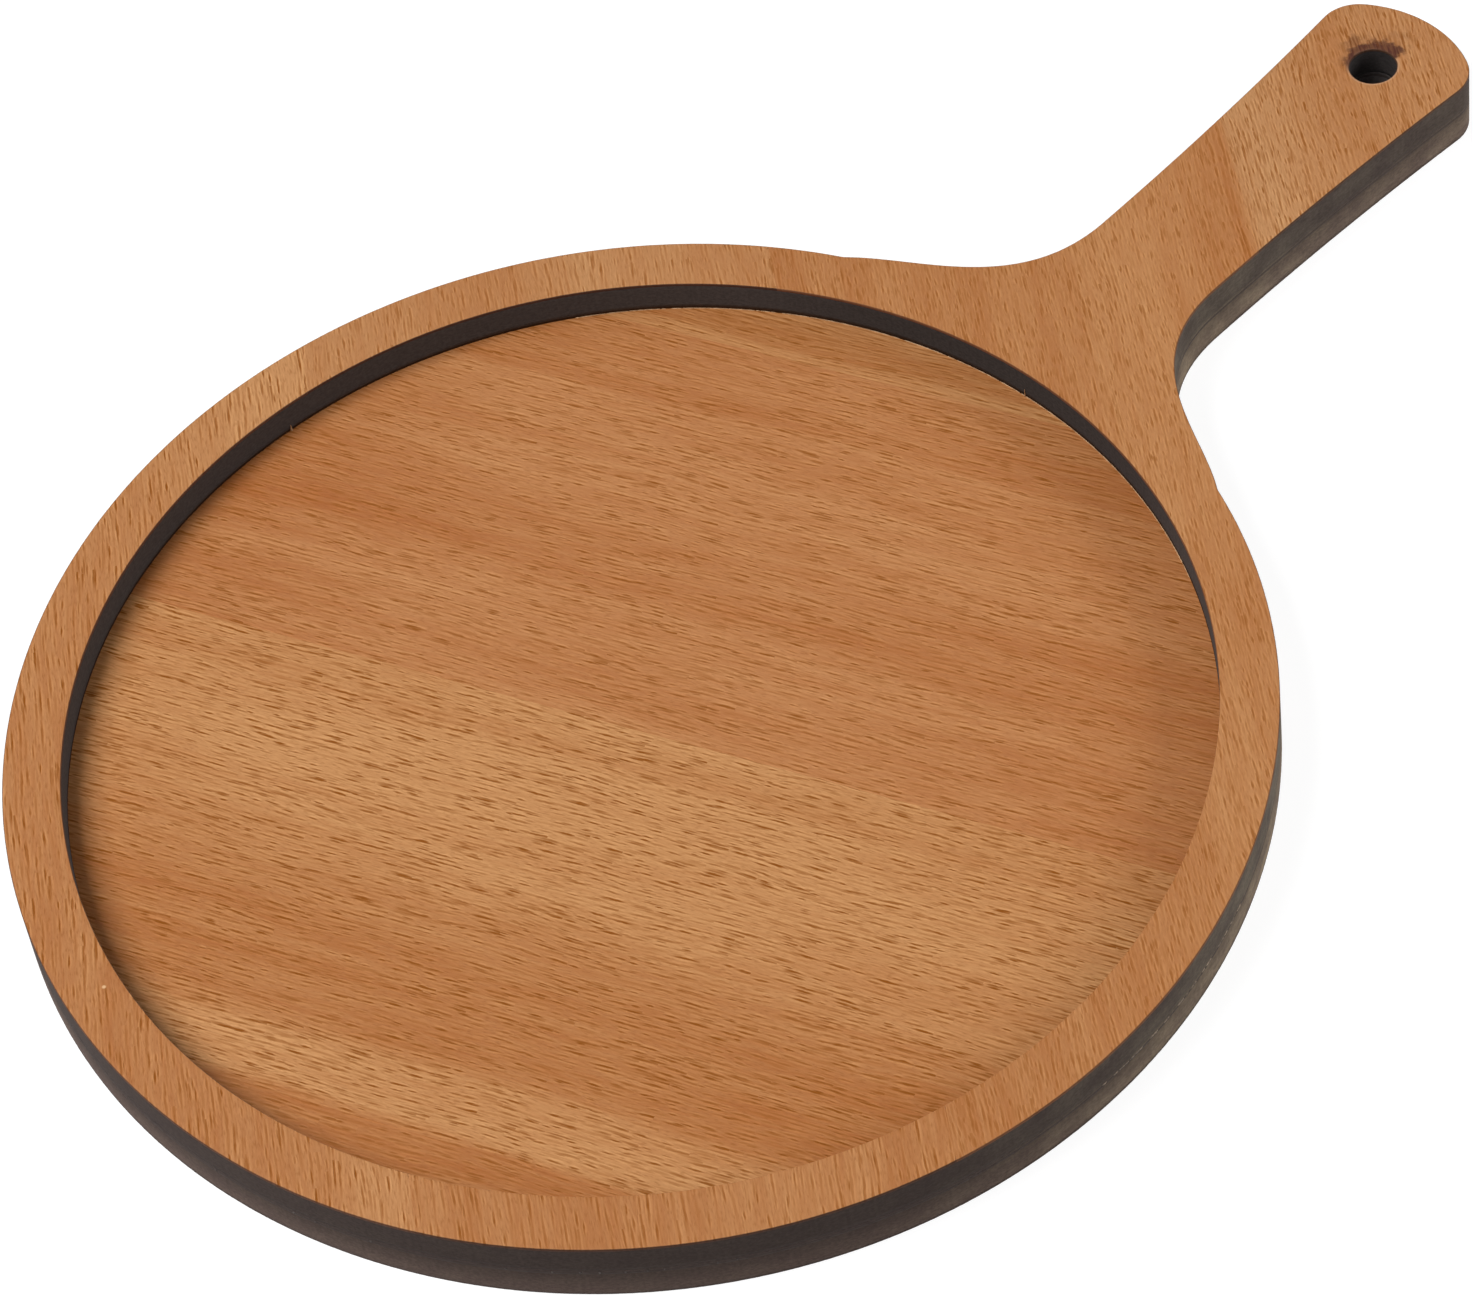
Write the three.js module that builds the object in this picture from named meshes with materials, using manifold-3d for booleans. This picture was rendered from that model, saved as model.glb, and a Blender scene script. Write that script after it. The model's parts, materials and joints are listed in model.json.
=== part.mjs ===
// Round snack board with a handle. Two veneered sheets of one outline are cut by laser and glued face
// to face: the lower sheet is whole and its face is the tray's floor, and the upper sheet is cut open
// to a rim, so that the tray is one sheet deep. Each sheet is a fibreboard core between two veneers,
// and each veneer is laid from leaves that meet edge to edge along the grain.
// Millimetres, +Z up. The origin is the middle of the plate on its underside; +X runs along the handle.

import * as THREE from 'three';
import { mergeVertices } from 'three/addons/utils/BufferGeometryUtils.js';
import Module from 'manifold-3d';

const wasm = await Module();
wasm.setup();

// The plate and its tray
const PLATE_DIAMETER = 204.5;
const RIM_WIDTH = 9.5;

// The handle: it narrows from a broad neck to a waist, then flares to a rounded end
const HANDLE_LENGTH = 95.5;
const NECK_HALF_ANGLE = 24.1;
const NECK_LEAN = 51;
const NECK_PLATE_PULL = 13;
const NECK_WAIST_PULL = 21.4;
const WAIST_FROM_PLATE = 24.4;
const WAIST_WIDTH = 24.9;
const FLARE_RADIUS = 770;
const CORNER_RADIUS = 7.2;
const END_RADIUS = 22;
const HOLE_DIAMETER = 8.3;
const HOLE_FROM_TIP = 14.15;

// The make-up of each sheet
const CORE_THICKNESS = 5;
const VENEER_THICKNESS = 0.5;

// The veneers: the grain's angle from the handle's line, and the joints between the leaves. A joint is
// given square to the grain, from the plate's middle or in from its edge, or by where it crosses the
// handle's line, back from the tip.
const BASE_GRAIN_ANGLE = -69;
const FLOOR_MIDDLE_JOINT = 0.5;
const FLOOR_OUTER_JOINT_INSET = 20;
const UNDERSIDE_BACK_JOINT = -38;
const UNDERSIDE_FRONT_JOINT = 44.5;
const UNDERSIDE_HANDLE_JOINT_FROM_TIP = 62;
const FRAME_GRAIN_ANGLE = 52;
const FRAME_RIM_JOINT = 45.4;
const FRAME_MIDDLE_JOINT = -35.6;
const FRAME_HANDLE_JOINT_FROM_TIP = 50;
const LEAF_SEAM = 0.2;

// How far a facet may lie from the true curve, and the steps along each side of the neck
const FACET_SAG = 0.05;
const NECK_STEPS = 10;

// Colours and roughness: beech in five tones, hidden veneer, and the laser's charred edge
const LEAF_TONES = [0xad7243, 0xbf8654, 0xb87c4d, 0xb27847, 0xbb8150];
const HIDDEN_VENEER_TONE = 0xc29468;
const CHAR_TONE = 0x423a37;
const VENEER_ROUGHNESS = 0.5;
const CHAR_ROUGHNESS = 0.85;

const plateRadius = PLATE_DIAMETER / 2;
const trayRadius = plateRadius - RIM_WIDTH;
const tipX = plateRadius + HANDLE_LENGTH;
const waistX = plateRadius + WAIST_FROM_PLATE;
const holeX = tipX - HOLE_FROM_TIP;
const neckAngle = THREE.MathUtils.degToRad(NECK_HALF_ANGLE);
const neckLean = THREE.MathUtils.degToRad(NECK_LEAN);

// Heights of the faces, from the underside up
const baseCoreLow = VENEER_THICKNESS;
const baseCoreHigh = baseCoreLow + CORE_THICKNESS;
const trayFloor = baseCoreHigh + VENEER_THICKNESS;
const frameCoreLow = trayFloor + VENEER_THICKNESS;
const frameCoreHigh = frameCoreLow + CORE_THICKNESS;
const rimTop = frameCoreHigh + VENEER_THICKNESS;

// Points on a round arc, close enough together for the allowed sag
function arcPoints(centre, radius, start, end) {
  const stepAngle = 2 * Math.acos(1 - FACET_SAG / radius);
  const steps = Math.ceil(Math.abs(end - start) / stepAngle);
  const clockwise = end < start;
  const arc = new THREE.EllipseCurve(centre.x, centre.y, radius, radius, start, end, clockwise);
  return arc.getPoints(steps);
}

// The centre of the corner arc, which meets both the flared side and the round end smoothly
function cornerCentre(flareCentre, endCentre) {
  const toFlare = FLARE_RADIUS + CORNER_RADIUS;
  const toEnd = END_RADIUS - CORNER_RADIUS;
  const line = flareCentre.clone().sub(endCentre);
  const span = line.length();
  const along = (toEnd ** 2 - toFlare ** 2 + span ** 2) / (2 * span);
  const across = Math.sqrt(toEnd ** 2 - along ** 2);
  const way = line.divideScalar(span);
  const square = new THREE.Vector2(way.y, -way.x);
  return endCentre.clone().addScaledVector(way, along).addScaledVector(square, across);
}

// One side of the outline, from the back of the plate round to the handle's tip
function sidePoints() {
  const middle = new THREE.Vector2(0, 0);
  const neckStart = new THREE.Vector2(Math.cos(neckAngle), Math.sin(neckAngle)).multiplyScalar(plateRadius);
  const leanWay = new THREE.Vector2(Math.cos(neckLean), -Math.sin(neckLean));
  const waist = new THREE.Vector2(waistX, WAIST_WIDTH / 2);
  const neck = new THREE.CubicBezierCurve(
    neckStart,
    neckStart.clone().addScaledVector(leanWay, NECK_PLATE_PULL),
    new THREE.Vector2(waistX - NECK_WAIST_PULL, waist.y),
    waist,
  );
  const flareCentre = new THREE.Vector2(waistX, waist.y + FLARE_RADIUS);
  const endCentre = new THREE.Vector2(tipX - END_RADIUS, 0);
  const corner = cornerCentre(flareCentre, endCentre);
  const toCorner = corner.clone().sub(flareCentre).angle();
  const outOfCorner = corner.clone().sub(endCentre).angle();
  const sideways = toCorner - Math.PI;
  const stretches = [
    arcPoints(middle, plateRadius, Math.PI, neckAngle),
    neck.getPoints(NECK_STEPS),
    arcPoints(flareCentre, FLARE_RADIUS, 1.5 * Math.PI, toCorner),
    arcPoints(corner, CORNER_RADIUS, sideways, outOfCorner),
    arcPoints(endCentre, END_RADIUS, outOfCorner, 0),
  ];
  return stretches.flatMap((points, index) => (index === 0 ? points : points.slice(1)));
}

// The whole outline: one side, and its mirror image back from the tip
function boardOutline() {
  const side = sidePoints();
  const mirrored = side.slice(1, -1).reverse().map((point) => new THREE.Vector2(point.x, -point.y));
  return [...side, ...mirrored];
}

function roundOpening(x, diameter) {
  const points = arcPoints(new THREE.Vector2(x, 0), diameter / 2, 0, 2 * Math.PI);
  return new THREE.Path(points.slice(0, -1));
}

function boardShape(openings) {
  const shape = new THREE.Shape(boardOutline());
  shape.holes.push(...openings);
  return shape;
}

const hangingHole = roundOpening(holeX, HOLE_DIAMETER);
const baseShape = boardShape([hangingHole]);
const frameShape = boardShape([hangingHole, roundOpening(0, 2 * trayRadius)]);

// A flat sheet of the shape between two heights; sheets that meet share the same height exactly
function sheetGeometry(shape, low, high) {
  const geometry = new THREE.ExtrudeGeometry(shape, { depth: 1, bevelEnabled: false });
  const position = geometry.attributes.position;
  for (let i = 0; i < position.count; i++) {
    position.setZ(i, position.getZ(i) < 0.5 ? low : high);
  }
  return mergedGeometry(geometry);
}

function mergedGeometry(geometry) {
  geometry.deleteAttribute('normal');
  geometry.deleteAttribute('uv');
  return mergeVertices(geometry);
}

function solidOf(geometry) {
  const vertProperties = new Float32Array(geometry.attributes.position.array);
  const triVerts = new Uint32Array(geometry.index.array);
  return new wasm.Manifold(new wasm.Mesh({ numProp: 3, vertProperties, triVerts }));
}

function geometryOf(solid) {
  const mesh = solid.getMesh();
  const geometry = new THREE.BufferGeometry();
  geometry.setAttribute('position', new THREE.BufferAttribute(mesh.vertProperties, 3));
  geometry.setIndex(new THREE.BufferAttribute(mesh.triVerts, 1));
  return geometry;
}

function piece(name, geometry, color, roughness) {
  geometry.computeVertexNormals();
  const mesh = new THREE.Mesh(geometry, new THREE.MeshStandardMaterial({ color, roughness, metalness: 0 }));
  mesh.name = name;
  return mesh;
}

function core(name, shape, low, high) {
  return piece(name, sheetGeometry(shape, low, high), CHAR_TONE, CHAR_ROUGHNESS);
}

// How far square to the grain a joint lies that crosses the handle's line at this distance from the tip
function handleJoint(grainAngle, fromTip) {
  return -Math.sin(grainAngle) * (tipX - fromTip);
}

// The leaves of one veneer: the sheet's shape cut into strips along the grain, from joint to joint.
// A strip that the tray cuts in two makes two separate pieces of veneer.
function veneerLeaves(name, shape, low, high, grainAngle, joints) {
  const sheet = solidOf(sheetGeometry(shape, low, high));
  const reach = tipX + plateRadius;
  const edges = [-reach, ...joints, reach];
  const leaves = [];
  for (let strip = 0; strip + 1 < edges.length; strip++) {
    const band = new THREE.BoxGeometry(2 * reach, edges[strip + 1] - edges[strip] - LEAF_SEAM, 2 * rimTop);
    band.translate(0, (edges[strip] + edges[strip + 1]) / 2, rimTop / 2);
    band.rotateZ(grainAngle);
    for (const body of sheet.intersect(solidOf(mergedGeometry(band))).decompose()) {
      const tone = LEAF_TONES[leaves.length % LEAF_TONES.length];
      leaves.push(piece(`${name}_${leaves.length + 1}`, geometryOf(body), tone, VENEER_ROUGHNESS));
    }
  }
  return leaves;
}

// The lower sheet
const baseGrain = THREE.MathUtils.degToRad(BASE_GRAIN_ANGLE);
const floorOuterJoint = plateRadius - FLOOR_OUTER_JOINT_INSET;
const floorJoints = [-floorOuterJoint, FLOOR_MIDDLE_JOINT, floorOuterJoint];
const undersideJoints = [
  UNDERSIDE_BACK_JOINT,
  UNDERSIDE_FRONT_JOINT,
  handleJoint(baseGrain, UNDERSIDE_HANDLE_JOINT_FROM_TIP),
];
const base = new THREE.Group();
base.add(
  ...veneerLeaves('underside_leaf', baseShape, 0, baseCoreLow, baseGrain, undersideJoints),
  core('base_core', baseShape, baseCoreLow, baseCoreHigh),
  ...veneerLeaves('floor_leaf', baseShape, baseCoreHigh, trayFloor, baseGrain, floorJoints),
);

// The upper sheet; its back veneer is glued to the lower sheet's face
const frameGrain = THREE.MathUtils.degToRad(FRAME_GRAIN_ANGLE);
const frameJoints = [
  handleJoint(frameGrain, FRAME_HANDLE_JOINT_FROM_TIP),
  FRAME_MIDDLE_JOINT,
  FRAME_RIM_JOINT,
];
const frameBack = sheetGeometry(frameShape, trayFloor, frameCoreLow);
const frame = new THREE.Group();
frame.add(
  piece('frame_back_veneer', frameBack, HIDDEN_VENEER_TONE, VENEER_ROUGHNESS),
  core('frame_core', frameShape, frameCoreLow, frameCoreHigh),
  ...veneerLeaves('frame_leaf', frameShape, frameCoreHigh, rimTop, frameGrain, frameJoints),
);

const board = new THREE.Group();
board.name = 'snack_board';
board.add(base, frame);

export default board;
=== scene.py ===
import cmath
import json
import math

import bmesh
import bpy
from mathutils import Matrix, Vector

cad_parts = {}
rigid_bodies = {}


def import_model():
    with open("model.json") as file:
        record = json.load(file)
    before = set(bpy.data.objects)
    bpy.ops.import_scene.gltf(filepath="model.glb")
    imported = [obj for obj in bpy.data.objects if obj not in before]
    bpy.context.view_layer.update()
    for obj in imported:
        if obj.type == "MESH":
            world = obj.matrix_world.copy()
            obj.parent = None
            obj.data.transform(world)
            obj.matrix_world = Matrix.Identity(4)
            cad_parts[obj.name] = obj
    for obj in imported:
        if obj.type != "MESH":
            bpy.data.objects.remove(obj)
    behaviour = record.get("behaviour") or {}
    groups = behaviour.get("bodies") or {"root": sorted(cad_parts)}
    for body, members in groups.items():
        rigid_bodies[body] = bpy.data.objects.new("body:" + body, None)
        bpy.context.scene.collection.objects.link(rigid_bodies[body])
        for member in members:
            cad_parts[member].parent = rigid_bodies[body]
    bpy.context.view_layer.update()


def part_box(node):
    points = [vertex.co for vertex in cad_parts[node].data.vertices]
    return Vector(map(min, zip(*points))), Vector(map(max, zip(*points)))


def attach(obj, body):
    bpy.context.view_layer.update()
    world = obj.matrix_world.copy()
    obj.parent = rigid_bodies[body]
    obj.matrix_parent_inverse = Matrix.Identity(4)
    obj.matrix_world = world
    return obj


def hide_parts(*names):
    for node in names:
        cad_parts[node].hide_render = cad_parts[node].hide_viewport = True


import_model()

board = bpy.context.scene.collection.objects


# The lower sheet's core: 5 mm fibreboard, veneered on both faces and then cut to the board's outline by
# laser. The beam burns the cut edge black-brown and leaves fine upright ribs on it. All plan points are
# complex numbers, x + iy, in metres from the plate's middle, with the handle along x.
base_low, base_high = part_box("base_core")
PLATE_RADIUS = -base_low.x
TIP_X = base_high.x
NECK_HALF_ANGLE = math.radians(24.1)
NECK_LEAN = math.radians(51)
NECK_PLATE_PULL = 0.013
NECK_WAIST_PULL = 0.0214
NECK_STEPS = 90
WAIST = complex(PLATE_RADIUS + 0.0244, 0.01245)
FLARE_RADIUS = 0.77
CORNER_RADIUS = 0.0072
END_RADIUS = 0.022
OUTLINE_STEP = 0.0005

# The hanging hole, which was cut a little to one side of the handle's line
HOLE_RADIUS = 0.00415
HOLE_FROM_TIP = 0.01415
HOLE_ASIDE = 0.0004
HOLE = complex(TIP_X - HOLE_FROM_TIP, HOLE_ASIDE)

# The laser's cut: its ribs, the soft arris at the face, and the rows of points up the wall
RIB_PITCH = 0.00042
RIB_DEPTH = 0.000012
CORE_ARRIS = 0.00004
CORE_BURN_WIDTH = 3 * CORE_ARRIS
CORE_ROWS = 9
ARRIS_STEPS = 3
BASE_CUT_SEED = 3


def arc(centre, radius, start, end):
    """Points of a round stretch from one angle to another, without the last one."""
    steps = math.ceil(abs(end - start) * radius / OUTLINE_STEP)
    return [centre + cmath.rect(radius, start + (end - start) * i / steps) for i in range(steps)]


def neck_curve():
    """The neck's smooth bend from the plate's edge to the handle's waist, without the last point."""
    start = cmath.rect(PLATE_RADIUS, NECK_HALF_ANGLE)
    first_pull = start + cmath.rect(NECK_PLATE_PULL, -NECK_LEAN)
    last_pull = WAIST - NECK_WAIST_PULL
    shares = [i / NECK_STEPS for i in range(NECK_STEPS)]
    return [
        start * (1 - t) ** 3
        + 3 * first_pull * t * (1 - t) ** 2
        + 3 * last_pull * t**2 * (1 - t)
        + WAIST * t**3
        for t in shares
    ]


def corner_centre(flare_centre, end_centre):
    """The middle of the handle's corner, whose arc meets the flared side and the round end smoothly."""
    line = flare_centre - end_centre
    span = abs(line)
    to_flare = FLARE_RADIUS + CORNER_RADIUS
    to_end = END_RADIUS - CORNER_RADIUS
    along = (to_end**2 - to_flare**2 + span**2) / (2 * span)
    return end_centre + line / span * complex(along, -math.sqrt(to_end**2 - along**2))


def board_outline():
    """The outline, anticlockwise from the back of the plate: one side to the tip, and its mirror."""
    flare_centre = WAIST + 1j * FLARE_RADIUS
    end_centre = TIP_X - END_RADIUS + 0j
    corner = corner_centre(flare_centre, end_centre)
    to_corner = cmath.phase(corner - flare_centre)
    out_of_corner = cmath.phase(corner - end_centre)
    side = arc(0, PLATE_RADIUS, math.pi, NECK_HALF_ANGLE)
    side += neck_curve()
    side += arc(flare_centre, FLARE_RADIUS, -math.pi / 2, to_corner)
    side += arc(corner, CORNER_RADIUS, to_corner + math.pi, out_of_corner)
    side += arc(end_centre, END_RADIUS, out_of_corner, 0)
    side += [complex(TIP_X)]
    return [point.conjugate() for point in side] + side[-2:0:-1]


def plan_curve(loops, closed=True):
    """The loops as one flat curve. Outer edges run anticlockwise and openings clockwise."""
    curve = bpy.data.curves.new("outline", "CURVE")
    curve.dimensions = "3D"
    for loop in loops:
        spline = curve.splines.new("POLY")
        spline.points.add(len(loop) - 1)
        for point, place in zip(spline.points, loop):
            point.co = (place.real, place.imag, 0, 1)
        spline.use_cyclic_u = closed
    return curve


def add_node(tree, kind, inputs=(), **settings):
    """Adds a node with its settings. Inputs are given by place or by name, as a value or as a link."""
    node = tree.nodes.new(kind)
    for name, value in settings.items():
        setattr(node, name, value)
    for key, value in dict(inputs).items():
        shown = [socket for socket in node.inputs if socket.enabled]
        socket = shown[key] if isinstance(key, int) else next(s for s in shown if s.name == key)
        if isinstance(value, bpy.types.NodeSocket):
            tree.links.new(value, socket)
        else:
            socket.default_value = value
    return next((socket for socket in node.outputs if socket.enabled), None)


def vector_math(tree, operation, *values):
    return add_node(tree, "ShaderNodeVectorMath", dict(enumerate(values)), operation=operation)


def scalar_math(tree, operation, *values, clamp=False):
    return add_node(tree, "ShaderNodeMath", dict(enumerate(values)), operation=operation, use_clamp=clamp)


def axes_of(tree, vector):
    """A vector's X, Y and Z by name."""
    node = tree.nodes.new("ShaderNodeSeparateXYZ")
    tree.links.new(vector, node.inputs[0])
    return node.outputs


def start_tree(name, sizes):
    """A Geometry Nodes tree with these named inputs; returns it with its input sockets by name."""
    tree = bpy.data.node_groups.new(name, "GeometryNodeTree")
    tree.interface.new_socket("Outline", in_out="INPUT", socket_type="NodeSocketGeometry")
    for size, kind in sizes.items():
        tree.interface.new_socket(size, in_out="INPUT", socket_type=f"NodeSocket{kind}")
    tree.interface.new_socket("Piece", in_out="OUTPUT", socket_type="NodeSocketGeometry")
    entry = tree.nodes.new("NodeGroupInput")
    return tree, {socket.name: socket for socket in entry.outputs if socket.name}


def finish_tree(tree, shape, material):
    """Ends a tree in real geometry with its material."""
    real = add_node(tree, "GeometryNodeRealizeInstances", {0: shape})
    dressed = add_node(tree, "GeometryNodeSetMaterial", {"Geometry": real, "Material": material})
    add_node(tree, "NodeGroupOutput", {0: dressed})
    return tree


def stored(tree, shape, name, value, kind):
    """Keeps a value on each point of the shape under a name."""
    inputs = {"Geometry": shape, "Name": name, "Value": value}
    return add_node(tree, "GeometryNodeStoreNamedAttribute", inputs, data_type=kind, domain="POINT")


def read_back(tree, name):
    """A kept place or direction."""
    return add_node(tree, "GeometryNodeInputNamedAttribute", {"Name": name}, data_type="FLOAT_VECTOR")


def joined(tree, *parts):
    node = tree.nodes.new("GeometryNodeJoinGeometry")
    for part in parts:
        tree.links.new(part, node.inputs[0])
    return node.outputs[0]


def ribbed_path(tree, given):
    """The cut as the laser ran it: even steps, each thrown in or out by its rib.

    Each point keeps its place, the way out of the sheet, and how far it lies along the cut.
    """
    steps = {"Curve": given["Outline"], "Length": given["Rib pitch"]}
    path = add_node(tree, "GeometryNodeResampleCurve", steps, mode="LENGTH")
    outward = vector_math(tree, "CROSS_PRODUCT", add_node(tree, "GeometryNodeInputTangent"), (0, 0, 1))
    shallow = scalar_math(tree, "MULTIPLY", given["Rib depth"], -1.0)
    either_way = {"Min": shallow, "Max": given["Rib depth"], "Seed": given["Seed"]}
    rib = add_node(tree, "FunctionNodeRandomValue", either_way, data_type="FLOAT")
    path = stored(tree, path, "outward", outward, "FLOAT_VECTOR")
    thrown = vector_math(tree, "SCALE", outward, rib)
    path = add_node(tree, "GeometryNodeSetPosition", {"Geometry": path, "Offset": thrown})
    path = stored(tree, path, "foot", add_node(tree, "GeometryNodeInputPosition"), "FLOAT_VECTOR")
    length = tree.nodes.new("GeometryNodeSplineParameter").outputs["Length"]
    return stored(tree, path, "along", length, "FLOAT")


def wall_profile(tree, given, thickness):
    """The wall's section: up from the back, round the soft arris and a little way in on the face."""
    corner = add_node(tree, "ShaderNodeCombineXYZ", {"Y": thickness})
    inner = add_node(tree, "ShaderNodeCombineXYZ", {"X": given["Burn width"], "Y": thickness})
    upright = add_node(tree, "GeometryNodeCurvePrimitiveLine", {"Start": (0, 0, 0), "End": corner})
    rows = {"Curve": upright, "Count": given["Rows"]}
    upright = add_node(tree, "GeometryNodeResampleCurve", rows, mode="COUNT")
    flat = add_node(tree, "GeometryNodeCurvePrimitiveLine", {"Start": corner, "End": inner})
    profile = add_node(tree, "GeometryNodeCurveToMesh", {"Curve": joined(tree, upright, flat)})
    profile = add_node(tree, "GeometryNodeMergeByDistance", {"Geometry": profile, "Distance": 1e-7})
    profile = add_node(tree, "GeometryNodeMeshToCurve", {"Mesh": profile})
    rounding = {"Curve": profile, "Count": ARRIS_STEPS, "Radius": given["Arris"], "Limit Radius": True}
    profile = add_node(tree, "GeometryNodeFilletCurve", rounding, mode="POLY")
    return stored(tree, profile, "section", add_node(tree, "GeometryNodeInputPosition"), "FLOAT_VECTOR")


def laser_cut_tree():
    """A sheet cut by laser: a ribbed wall with a soft arris at the face, and both faces.

    Each point keeps its share of the burn: 1 on the wall and 0 on the face.
    """
    sizes = {"Back": "Float", "Face": "Float", "Arris": "Float", "Burn width": "Float"}
    sizes |= {"Rib pitch": "Float", "Rib depth": "Float", "Rows": "Int", "Seed": "Int", "Finish": "Material"}
    tree, given = start_tree("laser_cut_sheet", sizes)
    path = ribbed_path(tree, given)
    rise = scalar_math(tree, "SUBTRACT", given["Face"], given["Back"])
    profile = wall_profile(tree, given, scalar_math(tree, "ABSOLUTE", rise))

    wall = add_node(tree, "GeometryNodeCurveToMesh", {"Curve": path, "Profile Curve": profile})
    section = axes_of(tree, read_back(tree, "section"))
    upwards = scalar_math(tree, "SIGN", rise)
    height = scalar_math(tree, "MULTIPLY_ADD", section["Y"], upwards, given["Back"])
    foot = read_back(tree, "foot")
    outward = read_back(tree, "outward")
    inset = vector_math(tree, "SCALE", outward, scalar_math(tree, "MULTIPLY", section["X"], -1.0))
    lifted = add_node(tree, "ShaderNodeCombineXYZ", {"Z": height})
    place = vector_math(tree, "ADD", vector_math(tree, "ADD", foot, inset), lifted)
    wall = add_node(tree, "GeometryNodeSetPosition", {"Geometry": wall, "Position": place})
    share = scalar_math(tree, "DIVIDE", section["X"], given["Burn width"])
    wall = stored(tree, wall, "burn", scalar_math(tree, "SUBTRACT", 1.0, share), "FLOAT")
    wall = add_node(tree, "GeometryNodeSetShadeSmooth", {0: wall, "Shade Smooth": True})

    faces = []
    for level, depth, burn in ((given["Back"], 0.0, 1.0), (given["Face"], given["Burn width"], 0.0)):
        shift = vector_math(tree, "SCALE", outward, scalar_math(tree, "MULTIPLY", depth, -1.0))
        edge = vector_math(tree, "ADD", foot, shift)
        loop = add_node(tree, "GeometryNodeSetPosition", {"Geometry": path, "Position": edge})
        face = add_node(tree, "GeometryNodeFillCurve", {"Curve": loop}, mode="TRIANGLES")
        lift = add_node(tree, "ShaderNodeCombineXYZ", {"Z": level})
        face = add_node(tree, "GeometryNodeSetPosition", {"Geometry": face, "Offset": lift})
        face = stored(tree, face, "burn", burn, "FLOAT")
        faces.append(add_node(tree, "GeometryNodeSetShadeSmooth", {0: face, "Shade Smooth": False}))
    whole = joined(tree, wall, *faces)
    closed = add_node(tree, "GeometryNodeMergeByDistance", {"Geometry": whole, "Distance": 1e-6})
    return finish_tree(tree, closed, given["Finish"])


def run_tree(tree, outline, values):
    """The plain mesh that a tree makes of an outline."""
    maker = bpy.data.objects.new("maker", outline)
    board.link(maker)
    modifier = maker.modifiers.new("maker", "NODES")
    modifier.node_group = tree
    for socket in tree.interface.items_tree:
        if socket.name in values:
            modifier[socket.identifier] = values[socket.name]
    graph = bpy.context.evaluated_depsgraph_get()
    mesh = bpy.data.meshes.new_from_object(maker.evaluated_get(graph))
    maker.modifiers.clear()
    bpy.data.objects.remove(maker)
    return mesh


def outward_faces(mesh):
    """Turns every face of a closed mesh outwards."""
    work = bmesh.new()
    work.from_mesh(mesh)
    bmesh.ops.recalc_face_normals(work, faces=work.faces)
    work.to_mesh(mesh)
    work.free()
    return mesh


def add_piece(name, mesh, slot, *nodes):
    """A finished piece of the board, which stands for these solids."""
    piece = bpy.data.objects.new(name, mesh)
    board.link(piece)
    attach(piece, "root")
    if nodes:
        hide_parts(*nodes)
    return piece


# An edge's colours: deep in soot, paler on the side towards the right, on the tray's wall and in the hole.
# The paler colour is partly the char's own and partly painted light; the hole's colour is painted light and
# shade.
# The char's patterns are given by how many fit into a metre.
# Each edge's last colour is for the hole: here lighter than the soot, painted light in the hole's shade.
LOWER_EDGE = ((73, 60, 56), (132, 117, 98), (52, 42, 38), (98, 91, 89))
EDGE_PARTS = ("Deep", "Paler side", "Tray", "Hole painted light")
SMEARS = (70, 70, 750)
PATCHES = (170, 170, 240)
CHAR_FIBRES = (1500, 1500, 2600)
RIB_SHADES = (1300, 1, 1)

# Where the char is paler: on the side towards the right, partly its own colour and partly painted light from
# the right, less out along the handle
PALER_WAY = (0.69, -0.72, 0)
PALER_FROM, PALER_TO = 0.03, 0.125
HANDLE_FROM, HANDLE_TO = 0.1, 0.165

# What lies nearer the middle than this is the tray's wall, whose soot grows thicker towards the handle
TRAY_SIDE = PLATE_RADIUS - 0.004
THICK_FROM, THICK_TO = 0.076, 0.0925
# Below this height the char is drawn lighter, towards the bottom of the board's edge.
LIGHTER_BELOW = 0.006


def linear(colour):
    """A colour of 0 to 255 as the eye sees it, as the light that Blender works with."""
    shares = [value / 255 for value in colour]
    return tuple(s / 12.92 if s <= 0.04045 else ((s + 0.055) / 1.055) ** 2.4 for s in shares) + (1.0,)


def mixed(tree, share, first, second, blend="MIX"):
    inputs = {"Factor": share, "A": first, "B": second}
    return add_node(tree, "ShaderNodeMix", inputs, data_type="RGBA", blend_type=blend)


def grey(tree, value):
    return add_node(tree, "ShaderNodeCombineColor", {0: value, 1: value, 2: value})


def scaled(tree, vector, scale):
    return add_node(tree, "ShaderNodeMapping", {"Vector": vector, "Scale": scale})


def noise(tree, vector, detail=2.0, roughness=0.5, flat="3D"):
    inputs = {"Vector": vector, "Scale": 1.0, "Detail": detail, "Roughness": roughness}
    return add_node(tree, "ShaderNodeTexNoise", inputs, noise_dimensions=flat)


def eased(tree, value, low, high, to_low=0.0, to_high=1.0):
    """The value's way from low to high as a smooth step."""
    inputs = {"Value": value, "From Min": low, "From Max": high, "To Min": to_low, "To Max": to_high}
    return add_node(tree, "ShaderNodeMapRange", inputs, interpolation_type="SMOOTHSTEP")


def object_place(tree):
    return tree.nodes.new("ShaderNodeTexCoord").outputs["Object"]


def plan_place(tree):
    """The place in the plan, without its height."""
    return vector_math(tree, "MULTIPLY", object_place(tree), (1, 1, 0))


def kept_value(tree, name):
    """A value that the cut left on the mesh, read in a material."""
    node = tree.nodes.new("ShaderNodeAttribute")
    node.attribute_name = name
    return node.outputs["Fac"]


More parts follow.
